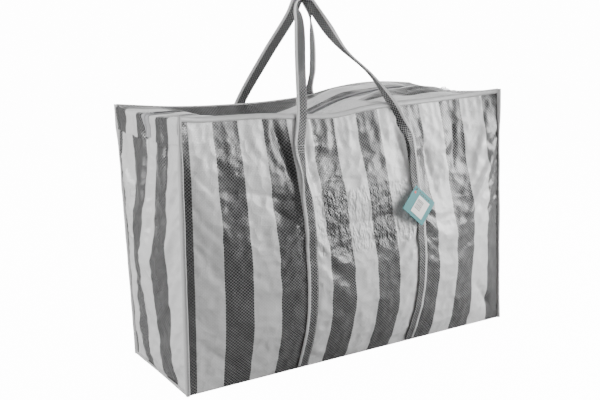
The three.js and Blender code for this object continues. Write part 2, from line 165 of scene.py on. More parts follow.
def plain_mesh(name, vertices, faces, uv=None, smooth=True):
    """A mesh from arrays; uv is given per vertex."""
    mesh = bpy.data.meshes.new(name)
    mesh.from_pydata(np.asarray(vertices).reshape(-1, 3).tolist(), [], [list(f) for f in faces])
    mesh.polygons.foreach_set("use_smooth", [smooth] * len(mesh.polygons))
    if uv is not None:
        layer = mesh.uv_layers.new(name="cloth")
        corner = np.zeros(len(mesh.loops), np.int32)
        mesh.loops.foreach_get("vertex_index", corner)
        layer.data.foreach_set("uv", np.asarray(uv, float).reshape(-1, 2)[corner].ravel())
    mesh.update()
    return link(bpy.data.objects.new(name, mesh))


def give(obj, material, body=None, stands_for=()):
    """Material and body of a finished piece; hides the CAD parts it stands for."""
    obj.data.materials.clear()
    obj.data.materials.append(material)
    if body:
        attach(obj, body)
    if stands_for:
        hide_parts(*stands_for)
    return obj


# ---- the swollen shape -------------------------------------------------------------------
# (foot, top) distance of each corner seam from the middle plane, by face and end.
CORNERS = {(-1, -1): (0.124, 0.1435), (-1, 1): (0.137, 0.1435),
           (1, -1): (0.122, 0.152), (1, 1): (0.130, 0.1435)}
# (height, how far the faces swell outwards or are drawn in at mid-length).
SWELL = [(0, 0), (0.04, 0.016), (0.085, 0.033), (0.13, 0.042), (0.19, 0.044), (0.25, 0.038),
         (0.32, 0.032), (0.385, 0.015), (0.44, -0.009), (0.499, -0.030)]
# (place along the bag, height) of each rim.
FRONT_RIM = [(-0.358, 0.501), (-0.32, 0.496), (-0.26, 0.493), (-0.18, 0.490), (-0.10, 0.483),
             (-0.03, 0.480), (0.04, 0.488), (0.10, 0.491), (0.19, 0.493), (0.29, 0.498),
             (0.358, 0.504)]
BACK_RIM = [(-0.358, 0.499), (-0.25, 0.489), (-0.13, 0.485), (-0.02, 0.486), (0.06, 0.492),
            (0.12, 0.503), (0.22, 0.511), (0.30, 0.507), (0.358, 0.501)]


def rim_height(side, u):
    """Height of the front or back rim at u."""
    return through(FRONT_RIM if side < 0 else BACK_RIM, u)


def corner_depth(side, end_share, z):
    """Depth of the corner seams, carried across from the left end (0) to the right end (1)."""
    (lf, lt), (rf, rt) = CORNERS[side, -1], CORNERS[side, 1]
    share = z / HEIGHT
    return (lf + (lt - lf) * share) * (1 - end_share) + (rf + (rt - rf) * share) * end_share


def face_point(side, u, t):
    """A point of the front or back cloth: u along it, t from its foot (0) to the rim (1)."""
    z = t * rim_height(side, u)
    lean = 0.024 * (u + END) / (END + 0.321) * (1 - z / HEIGHT)
    swell = through(SWELL, z * HEIGHT / rim_height(side, u))
    full = 1 - np.abs(u / END) ** 2.2
    drawn = 1 - np.abs(u / END) ** 5
    out = np.where(swell > 0, swell * full, swell * drawn) * (1.0 if side < 0 else 0.8)
    y = side * (corner_depth(side, (u + END) / (2 * END), z) + out)
    return np.stack([u + lean, y, z], -1)


# (height, how far the ends swell outwards).
END_SWELL = [(0, 0), (0.06, 0.012), (0.14, 0.021), (0.22, 0.024), (0.32, 0.019), (0.40, 0.009),
             (0.44, 0.003), (0.499, 0.0)]


def end_point(end, v, t):
    """A point of an end's cloth: v from the front seam (0) to the back seam (1)."""
    front = face_point(-1, np.full_like(v, end * END), t)
    back = face_point(1, np.full_like(v, end * END), t)
    point = front * (1 - v)[..., None] + back * v[..., None]
    swell = through(END_SWELL, point[..., 2]) * (1 - np.abs(2 * v - 1) ** 1.8)
    point[..., 0] += end * swell
    point[..., 2] -= 0.011 * (1 - np.abs(2 * v - 1) ** 1.5) * t ** 10
    return point


def base_point(u, v):
    """A point of the base cloth, between the feet of the front (0) and the back (1)."""
    front = face_point(-1, u, np.zeros_like(u))
    back = face_point(1, u, np.zeros_like(u))
    point = front * (1 - v)[..., None] + back * v[..., None]
    point[..., 2] = 0.0008
    return point


def panel(kind, n, m):
    """Points and flat cloth places of one panel, as grids."""
    a, b = np.meshgrid(np.linspace(0, 1, n), np.linspace(0, 1, m), indexing="ij")
    if kind in ("front", "back"):
        side = -1 if kind == "front" else 1
        u = (2 * a - 1) * END
        return face_point(side, u, b), np.stack([u + END - FIRST_STRIPE, b * HEIGHT], -1)
    if kind in ("left", "right"):
        end = -1 if kind == "left" else 1
        return end_point(end, a, b), np.stack([a * 0.270, b * HEIGHT], -1)
    u = (2 * a - 1) * END
    return base_point(u, b), np.stack([u + END - FIRST_STRIPE, b * 0.26], -1)


CELLS = {"front": (103, 73), "back": (103, 73), "left": (39, 73), "right": (39, 73),
         "base": (103, 39)}
FLIP = {"front": False, "back": True, "left": True, "right": False, "base": True}
grids, flats = {}, {}
for kind, (n, m) in CELLS.items():
    grids[kind], flats[kind] = panel(kind, n, m)


# ---- cloth simulation: slack cloth between the sewn seams --------------------------------
def simulate(frames=22):
    """Lets the sewn shell swell, sag and wrinkle between its seams."""
    points, faces, held, start = [], [], [], 0
    for kind, (n, m) in CELLS.items():
        grid = grids[kind]
        points.append(grid.reshape(-1, 3))
        faces.append(grid_faces(n, m, FLIP[kind]) + start)
        grip = np.zeros((n, m))
        grip[0], grip[-1], grip[:, 0], grip[:, -1] = 1, 1, 1, 1
        if kind == "base":
            grip[:] = 1
        if kind in ("front", "back"):
            near = from_strap(grid[..., 0]) < STRAP_WIDTH / 2
            grip = np.maximum(grip, np.where(near, 0.35, 0))
        held.append(grip.ravel())
        start += n * m
    points, faces, held = np.concatenate(points), np.concatenate(faces), np.concatenate(held)
    _, first, back = np.unique(np.round(points, 5), axis=0, return_index=True,
                                  return_inverse=True)
    back = back.ravel()
    shell = plain_mesh("cloth_shell", points[first], back[faces])
    group = shell.vertex_groups.new(name="sewn")
    strongest = np.zeros(len(first))
    np.maximum.at(strongest, back, held)
    for level in np.unique(strongest):
        if level > 0:
            group.add(np.flatnonzero(strongest == level).tolist(), float(level), "REPLACE")
    cloth = shell.modifiers.new("cloth", "CLOTH")
    settings = cloth.settings
    settings.quality = 5
    settings.mass = 0.12
    settings.tension_stiffness = 25
    settings.compression_stiffness = 25
    settings.shear_stiffness = 12
    settings.bending_stiffness = 0.4
    settings.air_damping = 3
    settings.vertex_group_mass = "sewn"
    settings.shrink_min = -0.03
    settings.use_pressure = True
    settings.uniform_pressure_force = 1.2
    cloth.point_cache.frame_start = 1
    cloth.point_cache.frame_end = frames
    scene = bpy.context.scene
    scene.frame_start, scene.frame_end = 1, frames
    for f in range(1, frames + 1):
        scene.frame_set(f)
    final = shell.evaluated_get(bpy.context.evaluated_depsgraph_get())
    moved = np.zeros(len(first) * 3)
    final.data.vertices.foreach_get("co", moved)
    moved = moved.reshape(-1, 3)[back]
    bpy.data.objects.remove(shell)
    scene.frame_set(1)
    shift = moved - points
    size = np.linalg.norm(shift, axis=1, keepdims=True)
    shift *= np.minimum(1, 0.012 / np.maximum(size, 1e-9))
    start = 0
    for kind, (n, m) in CELLS.items():
        moved = shift[start:start + n * m].reshape(n, m, 3)
        x, z = grids[kind][..., 0], grids[kind][..., 2]
        calm = 0.75 if kind == "front" else 0.4
        slack = 1 - calm * (1 - ease((z - 0.14) / 0.20))
        if kind in ("left", "right"):
            slack *= 0.65
        if kind == "front":
            slack *= (1 - 0.6 * ease((z - 0.37) / 0.09)) * (0.5 + 0.5 * ease((x + 0.27) / 0.10))
        grids[kind] = grids[kind] + moved * slack[..., None]
        start += n * m


simulate()

# ---- folds that the sewing and the pull of the handles leave ------------------------------
# ((x, z), (x, z)) of the two ends of a crease, its width and its depth.
FRONT_CREASES = [
    (((-0.165, 0.47), (-0.120, 0.30)), 0.010, 0.016),
    (((-0.115, 0.46), (-0.100, 0.36)), 0.008, 0.009),
    (((-0.24, 0.36), (-0.13, 0.33)), 0.010, 0.006),
    (((-0.20, 0.33), (-0.14, 0.29)), 0.008, 0.006),
    (((-0.14, 0.33), (-0.07, 0.24)), 0.012, 0.006),
    (((-0.09, 0.365), (0.03, 0.355)), 0.006, 0.0025),
    (((-0.10, 0.235), (0.11, 0.245)), 0.005, 0.0022),
    (((-0.07, 0.27), (0.14, 0.29)), 0.010, 0.005),
    (((0.10, 0.44), (0.135, 0.33)), 0.009, 0.008),
    (((0.16, 0.45), (0.19, 0.30)), 0.010, 0.006),
    (((0.25, 0.46), (0.24, 0.34)), 0.010, 0.005),
    (((0.30, 0.10), (0.358, 0.03)), 0.012, 0.008),
    (((-0.34, 0.10), (-0.25, 0.02)), 0.012, 0.004),
]
# The same on the ends, with the place from the front seam (0) to the back seam (1) for x.
END_CREASES = [
    (((0.40, 0.50), (0.46, 0.25)), 0.06, 0.010),
    (((0.52, 0.50), (0.60, 0.33)), 0.05, 0.012),
    (((0.72, 0.48), (0.78, 0.20)), 0.06, 0.008),
    (((0.22, 0.47), (0.20, 0.30)), 0.05, 0.006),
]
shapes, cloth_uv = {}, {}
for kind, (n, m) in CELLS.items():
    fine = finer(grids[kind], 2)
    flat = finer(flats[kind], 2)
    a, b = np.meshgrid(np.linspace(0, 1, fine.shape[0]), np.linspace(0, 1, fine.shape[1]),
                       indexing="ij")
    normal = normals_of(fine) * (-1 if FLIP[kind] else 1)
    edge = ease(np.minimum(np.minimum(a, 1 - a) * (20 if kind in ("front", "back") else 8),
                           np.minimum(b, 1 - b) * 14))
    u, v = flat[..., 0], flat[..., 1]
    push = 0.0012 * crumple(u, v, 0.045, 11) + 0.0006 * crumple(u, v, 0.019, 21)
    if kind == "front":
        x, z = fine[..., 0], fine[..., 2]
        for ends, width, depth in FRONT_CREASES:
            push = push + crease(x, z, ends, width, depth)
        push *= held_by_strap(x)
        push -= 0.011 * np.exp(-((x - 0.125) / 0.06) ** 2 - ((z - 0.335) / 0.065) ** 2)
    if kind in ("left", "right"):
        for ends, width, depth in END_CREASES:
            push = push + crease(a, fine[..., 2], ends, width, depth)
    if kind == "back":
        push *= held_by_strap(fine[..., 0])
    if kind == "base":
        push = push * 0
    shapes[kind] = fine + normal * (push * edge)[..., None]
    cloth_uv[kind] = flat


def tree_of(kind):
    """A search tree of one cloth panel."""
    shape = shapes[kind]
    faces = grid_faces(*shape.shape[:2])
    return BVHTree.FromPolygons([Vector(p) for p in shape.reshape(-1, 3)], faces.tolist())


trees = {-1: tree_of("front"), 1: tree_of("back")}


def on_face(side, x, z, proud):
    """The place on the front or back cloth at x and z, lifted off it by proud."""
    hit = trees[side].ray_cast(Vector((x, side, z)), Vector((0, -side, 0)))[0]
    return np.array([x, hit.y + side * proud, z])


def unit(vectors):
    """The same directions at length 1."""
    return vectors / np.maximum(np.linalg.norm(vectors, axis=-1, keepdims=True), 1e-9)


def smoothed(points, rounds):
    """Points along a line, evened out while the two ends stay."""
    points = points.copy()
    for _ in range(rounds):
        points[1:-1] = (points[:-2] + 2 * points[1:-1] + points[2:]) / 4
    return points


def route(points, step):
    """A smooth line through points, cut into even steps."""
    points = np.array(points, float)
    reach = np.concatenate([[0], np.cumsum(np.linalg.norm(np.diff(points, axis=0), axis=1) ** 0.5)])
    fine = np.linspace(0, reach[-1], 600)
    line = np.stack([through(list(zip(reach, points[:, k])), fine) for k in range(3)], -1)
    length = np.concatenate([[0], np.cumsum(np.linalg.norm(np.diff(line, axis=0), axis=1))])
    even = np.linspace(0, length[-1], int(length[-1] / step) + 2)
    return np.stack([np.interp(even, length, line[:, k]) for k in range(3)], -1)


# ---- materials ---------------------------------------------------------------------------
def socket(group, name, kind, direction="INPUT", value=None):
    """A named input or output of a node group."""
    made = group.interface.new_socket(name=name, in_out=direction, socket_type=kind)
    if value is not None:
        made.default_value = value
    return made


def math_node(nodes, links, kind, first, second=None, third=None):
    """One sum in a node tree; each given value is a number or an output."""
    node = nodes.new("ShaderNodeMath")
    node.operation = kind
    for place, given in enumerate((first, second, third)):
        if given is None:
            continue
        if isinstance(given, (int, float)):
            node.inputs[place].default_value = given
        else:
            links.new(given, node.inputs[place])
    return node.outputs[0]


def weave_group():
    """Plain weave of flat tapes: which tape lies on top, its crown, and the dark warp stripes."""
    tree = bpy.data.node_groups.new("tape_weave", "ShaderNodeTree")
    socket(tree, "Place", "NodeSocketVector")
    socket(tree, "Tape", "NodeSocketFloat", value=0.0025)
    socket(tree, "Stripe", "NodeSocketFloat", value=STRIPE)
    socket(tree, "Warp on top", "NodeSocketFloat", "OUTPUT")
    socket(tree, "Dark stripe", "NodeSocketFloat", "OUTPUT")
    socket(tree, "Height", "NodeSocketFloat", "OUTPUT")
    nodes, links = tree.nodes, tree.links
    given, out = nodes.new("NodeGroupInput"), nodes.new("NodeGroupOutput")
    split = nodes.new("ShaderNodeSeparateXYZ")
    links.new(given.outputs["Place"], split.inputs[0])
    u = math_node(nodes, links, "DIVIDE", split.outputs[0], given.outputs["Tape"])
    v = math_node(nodes, links, "DIVIDE", split.outputs[1], given.outputs["Tape"])
    ui, vi = math_node(nodes, links, "FLOOR", u), math_node(nodes, links, "FLOOR", v)
    odd = math_node(nodes, links, "FLOORED_MODULO", math_node(nodes, links, "ADD", ui, vi), 2)
    links.new(odd, out.inputs["Warp on top"])
    twice = math_node(nodes, links, "MULTIPLY", given.outputs["Stripe"], 2)
    middle = math_node(nodes, links, "MULTIPLY", math_node(nodes, links, "ADD", ui, 0.5),
                       given.outputs["Tape"])
    share = math_node(nodes, links, "FLOORED_MODULO",
                      math_node(nodes, links, "DIVIDE", middle, twice), 1)
    links.new(math_node(nodes, links, "GREATER_THAN", share, 0.5), out.inputs["Dark stripe"])
    crown_u = math_node(nodes, links, "PINGPONG", u, 0.5)
    crown_v = math_node(nodes, links, "PINGPONG", v, 0.5)
    crowns = nodes.new("ShaderNodeMix")
    links.new(odd, crowns.inputs["Factor"])
    links.new(crown_v, crowns.inputs["A"])
    links.new(crown_u, crowns.inputs["B"])
    links.new(crowns.outputs["Result"], out.inputs["Height"])
    return tree


def film_group():
    """Creased film: a height for bumps and a mask of duller, rubbed places."""
    tree = bpy.data.node_groups.new("creased_film", "ShaderNodeTree")
    socket(tree, "Place", "NodeSocketVector")
    socket(tree, "Scale", "NodeSocketFloat", value=40)
    socket(tree, "Height", "NodeSocketFloat", "OUTPUT")
    socket(tree, "Rubbed", "NodeSocketFloat", "OUTPUT")
    nodes, links = tree.nodes, tree.links
    given, out = nodes.new("NodeGroupInput"), nodes.new("NodeGroupOutput")
    warp = nodes.new("ShaderNodeTexNoise")
    warp.inputs["Scale"].default_value = 18
    links.new(given.outputs["Place"], warp.inputs["Vector"])
    bent = nodes.new("ShaderNodeVectorMath")
    bent.operation = "MULTIPLY_ADD"
    bent.inputs[1].default_value = (0.03, 0.03, 0.03)
    links.new(warp.outputs["Color"], bent.inputs[0])
    links.new(given.outputs["Place"], bent.inputs[2])
    cells = nodes.new("ShaderNodeTexVoronoi")
    cells.feature = "F1"
    links.new(bent.outputs[0], cells.inputs["Vector"])
    links.new(given.outputs["Scale"], cells.inputs["Scale"])
    broad = nodes.new("ShaderNodeTexNoise")
    broad.inputs["Scale"].default_value = 9
    broad.inputs["Detail"].default_value = 4
    links.new(given.outputs["Place"], broad.inputs["Vector"])
    total = math_node(nodes, links, "MULTIPLY", cells.outputs["Distance"], broad.outputs["Fac"])
    links.new(total, out.inputs["Height"])
    ramp = nodes.new("ShaderNodeMapRange")
    ramp.inputs["From Min"].default_value = 0.42
    ramp.inputs["From Max"].default_value = 0.62
    links.new(broad.outputs["Fac"], ramp.inputs["Value"])
    links.new(ramp.outputs[0], out.inputs["Rubbed"])
    return tree


WEAVE, FILM = weave_group(), film_group()


def mix_colour(nodes, links, factor, first, second):
    """A mix of two colours, each a tuple or an output."""
    node = nodes.new("ShaderNodeMix")
    node.data_type = "RGBA"
    for place, given in (("Factor", factor), ("A", first), ("B", second)):
        inputs = [s for s in node.inputs if s.name == place and s.enabled]
        if isinstance(given, tuple):
            inputs[0].default_value = (*given, 1)
        elif isinstance(given, (int, float)):
            inputs[0].default_value = given
        else:
            links.new(given, inputs[0])
    return [s for s in node.outputs if s.name == "Result" and s.enabled][0]


def cloth_material(name, light, weft_in_dark, black, tape=TAPE, stripe=STRIPE, rough=0.26,
                   always_dark=False, band=None, pressed=None, shine=0.6):
    """Laminated cloth of woven tapes; band is the part of the width that stays light, pressed
    the part (low u, high u, low v, high v) that an old fold has left finely crumpled."""
    material = bpy.data.materials.new(name)
    material.use_nodes = True
    nodes, links = material.node_tree.nodes, material.node_tree.links
    shader = nodes["Principled BSDF"]
    place = nodes.new("ShaderNodeUVMap")
    place.uv_map = "cloth"
    weave = nodes.new("ShaderNodeGroup")
    weave.node_tree = WEAVE
    weave.inputs["Tape"].default_value = tape
    weave.inputs["Stripe"].default_value = stripe
    links.new(place.outputs[0], weave.inputs["Place"])
    dark = mix_colour(nodes, links, weave.outputs["Warp on top"], weft_in_dark, black)
    shade = tuple(c * 0.93 for c in light)
    pale = mix_colour(nodes, links, weave.outputs["Warp on top"], shade, light)
    choose = weave.outputs["Dark stripe"]
    if always_dark:
        split = nodes.new("ShaderNodeSeparateXYZ")
        links.new(place.outputs[0], split.inputs[0])
        choose = math_node(nodes, links, "GREATER_THAN", split.outputs[0], band)
    colour = mix_colour(nodes, links, choose, pale, dark)
    film = nodes.new("ShaderNodeGroup")
    film.node_tree = FILM
    links.new(place.outputs[0], film.inputs["Place"])
    links.new(colour, shader.inputs["Base Color"])
    roughness = nodes.new("ShaderNodeMapRange")
    roughness.inputs["To Min"].default_value = rough
    roughness.inputs["To Max"].default_value = rough + 0.14
    links.new(film.outputs["Rubbed"], roughness.inputs["Value"])
    links.new(roughness.outputs[0], shader.inputs["Roughness"])
    tapes = nodes.new("ShaderNodeBump")
    tapes.inputs["Strength"].default_value = 0.5
    tapes.inputs["Distance"].default_value = 0.0004
    links.new(weave.outputs["Height"], tapes.inputs["Height"])
    creases = nodes.new("ShaderNodeBump")
    creases.inputs["Strength"].default_value = 0.6
    creases.inputs["Distance"].default_value = 0.006
    links.new(film.outputs["Height"], creases.inputs["Height"])
    links.new(tapes.outputs[0], creases.inputs["Normal"])
    normal = creases.outputs[0]
    if pressed:
        split = nodes.new("ShaderNodeSeparateXYZ")
        links.new(place.outputs[0], split.inputs[0])
        inside = None
        for axis, (low, high) in ((0, pressed[:2]), (1, pressed[2:])):
            for edge, way in ((low, 1), (high, -1)):
                step = math_node(nodes, links, "MULTIPLY_ADD", split.outputs[axis], way * 120.0,
                                 -way * edge * 120.0)
                step = math_node(nodes, links, "MAXIMUM", step, 0.0)
                step = math_node(nodes, links, "MINIMUM", step, 1.0)
                inside = step if inside is None else math_node(nodes, links, "MULTIPLY", inside,
                                                               step)
        grain = nodes.new("ShaderNodeTexNoise")
        grain.inputs["Scale"].default_value = 110
        grain.inputs["Detail"].default_value = 4
        drawn = nodes.new("ShaderNodeVectorMath")
        drawn.operation = "MULTIPLY"
        drawn.inputs[1].default_value = (1, 0.45, 1)
        links.new(place.outputs[0], drawn.inputs[0])
        links.new(drawn.outputs[0], grain.inputs["Vector"])
        fine = nodes.new("ShaderNodeBump")
        fine.inputs["Distance"].default_value = 0.006
        links.new(inside, fine.inputs["Strength"])
        links.new(grain.outputs["Fac"], fine.inputs["Height"])
        links.new(normal, fine.inputs["Normal"])
        normal = fine.outputs[0]
    links.new(normal, shader.inputs["Normal"])
    shader.inputs["Specular IOR Level"].default_value = shine
    return material


def plain_material(name, colour, rough, metal=0.0, bump=0.0):
    """One colour with slight unevenness."""
    material = bpy.data.materials.new(name)
    material.use_nodes = True
    nodes, links = material.node_tree.nodes, material.node_tree.links
    shader = nodes["Principled BSDF"]
    shader.inputs["Roughness"].default_value = rough
    shader.inputs["Metallic"].default_value = metal
    place = nodes.new("ShaderNodeTexCoord")
    noise = nodes.new("ShaderNodeTexNoise")
    noise.inputs["Scale"].default_value = 60
    links.new(place.outputs["Object"], noise.inputs["Vector"])
    low = tuple(c * 0.9 for c in colour)
    links.new(mix_colour(nodes, links, noise.outputs["Fac"], low, colour),
              shader.inputs["Base Color"])
    if bump:
        node = nodes.new("ShaderNodeBump")
        node.inputs["Strength"].default_value = bump
        node.inputs["Distance"].default_value = 0.002
        links.new(noise.outputs["Fac"], node.inputs["Height"])
        links.new(node.outputs[0], shader.inputs["Normal"])
    return material


striped = cloth_material("striped_cloth", (0.62, 0.62, 0.62), (0.15, 0.15, 0.15),
                         (0.005, 0.005, 0.006), pressed=(0.185, 0.455, 0.232, 0.362))
strap_cloth = cloth_material("handle_strap", (0.6, 0.6, 0.6), (0.22, 0.22, 0.22),
                             (0.004, 0.004, 0.005), tape=0.0030, always_dark=True, band=0.0055,
                             rough=0.45, shine=0.3)
binding = plain_material("seam_binding", (0.47, 0.47, 0.47), 0.42, bump=0.4)
tape_cloth = plain_material("zip_tape", (0.34, 0.34, 0.35), 0.85, bump=0.3)
coil_plastic = plain_material("zip_coil", (0.22, 0.22, 0.23), 0.45)
metal = plain_material("zip_metal", (0.42, 0.42, 0.43), 0.35, metal=0.8)
thread = plain_material("stitch_thread", (0.55, 0.55, 0.55), 0.7)
dark_thread = plain_material("dark_thread", (0.12, 0.12, 0.12), 0.7)
wire = plain_material("tag_loop", (0.75, 0.75, 0.75), 0.25)

# ---- the cloth panels ----------------------------------------------------------------------
SHEETS = {"front": ("front_cloth", ["front_panel"], (0.716, 0.50)),
          "back": ("back_cloth", ["back_panel"], (0.716, 0.50)),
          "left": ("left_end_cloth", ["left_end_panel"], (0.27, 0.50)),
          "right": ("right_end_cloth", ["right_end_panel"], (0.28, 0.50)),
          "base": ("base_cloth", ["base_panel"], (0.73, 0.26))}
for kind, (name, nodes, size) in SHEETS.items():
    shape = shapes[kind]
    obj = plain_mesh(name, shape, grid_faces(*shape.shape[:2], FLIP[kind]), cloth_uv[kind])
    give(obj, striped, "bag", nodes)


# ---- bindings along the seams and rims ---------------------------------------------------------
def bound_edge(name, edge, first, second, section, stands_for):
    """A binding folded over an edge: its section is drawn along two directions from the edge."""
    line = smoothed(edge, 3)
    first, second = unit(smoothed(first - edge, 6)), unit(smoothed(second - edge, 6))
    rings = [line + a * first + b * second for a, b in section]
    points = np.stack(rings, 1)
    points[..., 2] = np.maximum(points[..., 2], 0.0003)
    n, m = points.shape[:2]
    obj = plain_mesh(name, points, grid_faces(n, m))
    mesh = obj.data
    middle = mesh.polygons[len(mesh.polygons) // 2]
    outward = Vector((-(first + second)[n // 2]).tolist())
    if middle.normal.dot(outward) < 0:
        mesh.flip_normals()
    return give(obj, binding, "bag", stands_for)


# (along the first cloth, along the second cloth) from the edge that a binding covers.
SEAM_SECTION = [(0.0026, -0.0004), (0.0022, -0.0022), (0.0006, -0.0036), (-0.0016, -0.0042),
                (-0.0040, -0.0034), (-0.0050, -0.0004), (-0.0044, 0.0030), (-0.0024, 0.0060),
                (-0.0003, 0.0075)]
CORNER_EDGES = {("left", "front"): (("front", 0), ("left", 0)),
                ("right", "front"): (("front", -1), ("right", 0)),
                ("left", "back"): (("back", 0), ("left", -1)),
                ("right", "back"): (("back", -1), ("right", -1))}
for (end_name, face_name), ((face, fi), (side_kind, si)) in CORNER_EDGES.items():
    edge = shapes[face][fi]
    along_face = shapes[face][4 if fi == 0 else -5]
    along_end = shapes[side_kind][3 if si == 0 else -4]
    corner = f"{end_name}_{face_name}_corner"
    bound_edge(f"{corner}_binding", edge, along_face, along_end, SEAM_SECTION,
               [f"{corner}_seam", f"{corner}_turn"])
for end_name in ("left", "right"):
    shape = shapes[end_name]
    inward = shape[:, 0] + np.array([0.05 if end_name == "left" else -0.05, 0, 0])
    bound_edge(f"{end_name}_foot_binding", shape[:, 0] + [0, 0, 0.0025], shape[:, 5], inward,
               SEAM_SECTION[:6], [f"{end_name}_base_seam"])

HEM_SECTION = [(0.0085, 0.0008), (0.0079, 0.0020), (0.0050, 0.0026), (0.0008, 0.0021),
               (-0.0014, 0.0), (0.0008, -0.0021), (0.0050, -0.0024), (0.0085, -0.0012)]
for side, kind in ((-1, "front"), (1, "back")):
    shape = shapes[kind]
    edge = shape[:, -1]
    down = shape[:, -5]
    outward = edge + np.array([0, side * 0.01, 0])
    bound_edge(f"{kind}_rim_binding", edge, down, outward, HEM_SECTION, [f"{kind}_rim_hem"])


# ---- the zipped top --------------------------------------------------------------------------
# (place along the bag, height) of the zip.
ZIP_LINE = [(-0.358, 0.4925), (-0.325, 0.4930), (-0.29, 0.4915), (-0.24, 0.472), (-0.17, 0.456),
            (-0.09, 0.452), (-0.02, 0.466), (0.05, 0.488), (0.12, 0.500), (0.20, 0.506),
            (0.27, 0.502), (0.318, 0.4932), (0.358, 0.4925)]
# By face: (x, share from zip to rim, reach along x, reach in share, height) of each hump.
TOP_HUMPS = {-1: [(0.012, 0.84, 0.050, 0.16, 0.020), (0.12, 0.55, 0.05, 0.3, 0.010),
                  (0.24, 0.45, 0.05, 0.3, 0.008), (-0.15, 0.5, 0.10, 0.4, -0.010)],
             1: [(0.10, 0.55, 0.06, 0.3, 0.010), (0.21, 0.5, 0.05, 0.3, 0.008)]}
# By face: (x, power of the rise from the zip to the rim; a high one hangs close to the rim).
SAG = {-1: [(-0.358, 1.4), (0.358, 1.4)],
       1: [(-0.358, 1.6), (-0.28, 3.0), (-0.05, 3.0), (0.06, 1.7), (0.358, 1.5)]}
BEND = 0.006           # length over which the top turns down at an end


def top_point(side, end, s, q):
    """A point of the top: s from mid-length to an end and down it, q from zip to rim."""
    kind = "front" if side < 0 else "back"
    end_kind = "left" if end < 0 else "right"
    x = end * np.minimum(s, END)
    rim = shapes[kind][:, -1]
    rim_y = np.interp(x, rim[:, 0], rim[:, 1]) - side * 0.0012
    rim_z = np.interp(x, rim[:, 0], rim[:, 2]) - 0.001
    zip_z = through(ZIP_LINE, x)
    rise = q ** through(SAG[side], x)
    z = rim_z * rise + zip_z * (1 - rise)
    for hx, hq, wide, deep, high in TOP_HUMPS[side]:
        hump = np.exp(-((x - hx) / wide) ** 2 - ((q - hq) / deep) ** 2)
        z = z + high * ease((1 - q) * 9) * hump
    fade = ease((1 - q) * 5) * ease(q * 6) * ease((0.345 - s) / 0.03)
    flow = x + 0.35 * side * q * TOP_HALF
    z = z + fade * (0.0035 * wave(flow * 0.5, q * TOP_HALF, 0.035, 31 + side)
                    + 0.0014 * wave(flow * 0.4, q * TOP_HALF, 0.014, 37 + side))
    y = rim_y * q
    over = np.clip(s - (END - 0.001), 0, None)
    drop = np.clip(over - BEND, 0, None)
    shape = shapes[end_kind]
    v = 0.5 + 0.5 * side * q * 0.965
    zz = np.clip(z - drop - 0.003 * ease(over / BEND), 0.3, 0.4985)
    n, m = shape.shape[:2]
    i = np.clip(v * (n - 1), 0, n - 1.001)
    j = np.clip(zz / HEIGHT * (m - 1), 0, m - 1.001)
    i0, j0 = i.astype(int), j.astype(int)
    part = (i - i0)[..., None]
    outer = shape[i0, j0] * (1 - part) + shape[np.minimum(i0 + 1, n - 1), j0] * part
    turned = ease(over / BEND)
    px = np.where(over > 0, x + (outer[..., 0] + end * 0.0032 - x) * turned, x)
    py = np.where(over > 0, y + (outer[..., 1] - y) * turned, y)
    pz = np.where(over > 0, zz, z)
    return np.stack([px, py, pz], -1)


def top_strip(name, side, end, reach, lift, tail, material, stands_for, cells=(90, 24)):
    """One strip of the top, from the middle to an end, on its front or back half."""
    s, q = np.meshgrid(np.linspace(0, END + tail, cells[0]), np.linspace(*reach, cells[1]),
                       indexing="ij")
    points = top_point(side, end, s, q)
    flip = side * end > 0
    normal = normals_of(points) * (-1 if flip else 1)
    if normal[2, 2, 2] < 0:
        normal, flip = -normal, not flip
    points = points + normal * lift
    shift = 0 if side < 0 else STRIPE + 0.009
    flat = np.stack([q * TOP_HALF + shift, s], -1)
    obj = plain_mesh(name, points, grid_faces(*cells, flip), flat)
    give(obj, material, None, stands_for)
    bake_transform(obj)
    return obj


for side, face in ((-1, "front"), (1, "back")):
    for end, end_name in ((-1, "left"), (1, "right")):
        cloth_stands, tape_stands = [f"{end_name}_{face}_end_band"], [f"{end_name}_{face}_end_tape"]
        if end < 0:
            cloth_stands += [f"{face}_top_panel", f"{face}_top_margin"]
            tape_stands += [f"{face}_zip_tape"]
        cloth = top_strip(f"{face}_{end_name}_top_cloth", side, end, (0.095, 1.0), 0.0, 0.048,
                          striped, cloth_stands)
        top_strip(f"{face}_{end_name}_tape_cloth", side, end, (0.008, 0.115), 0.0009, 0.042,
                  tape_cloth, tape_stands, (90, 6))


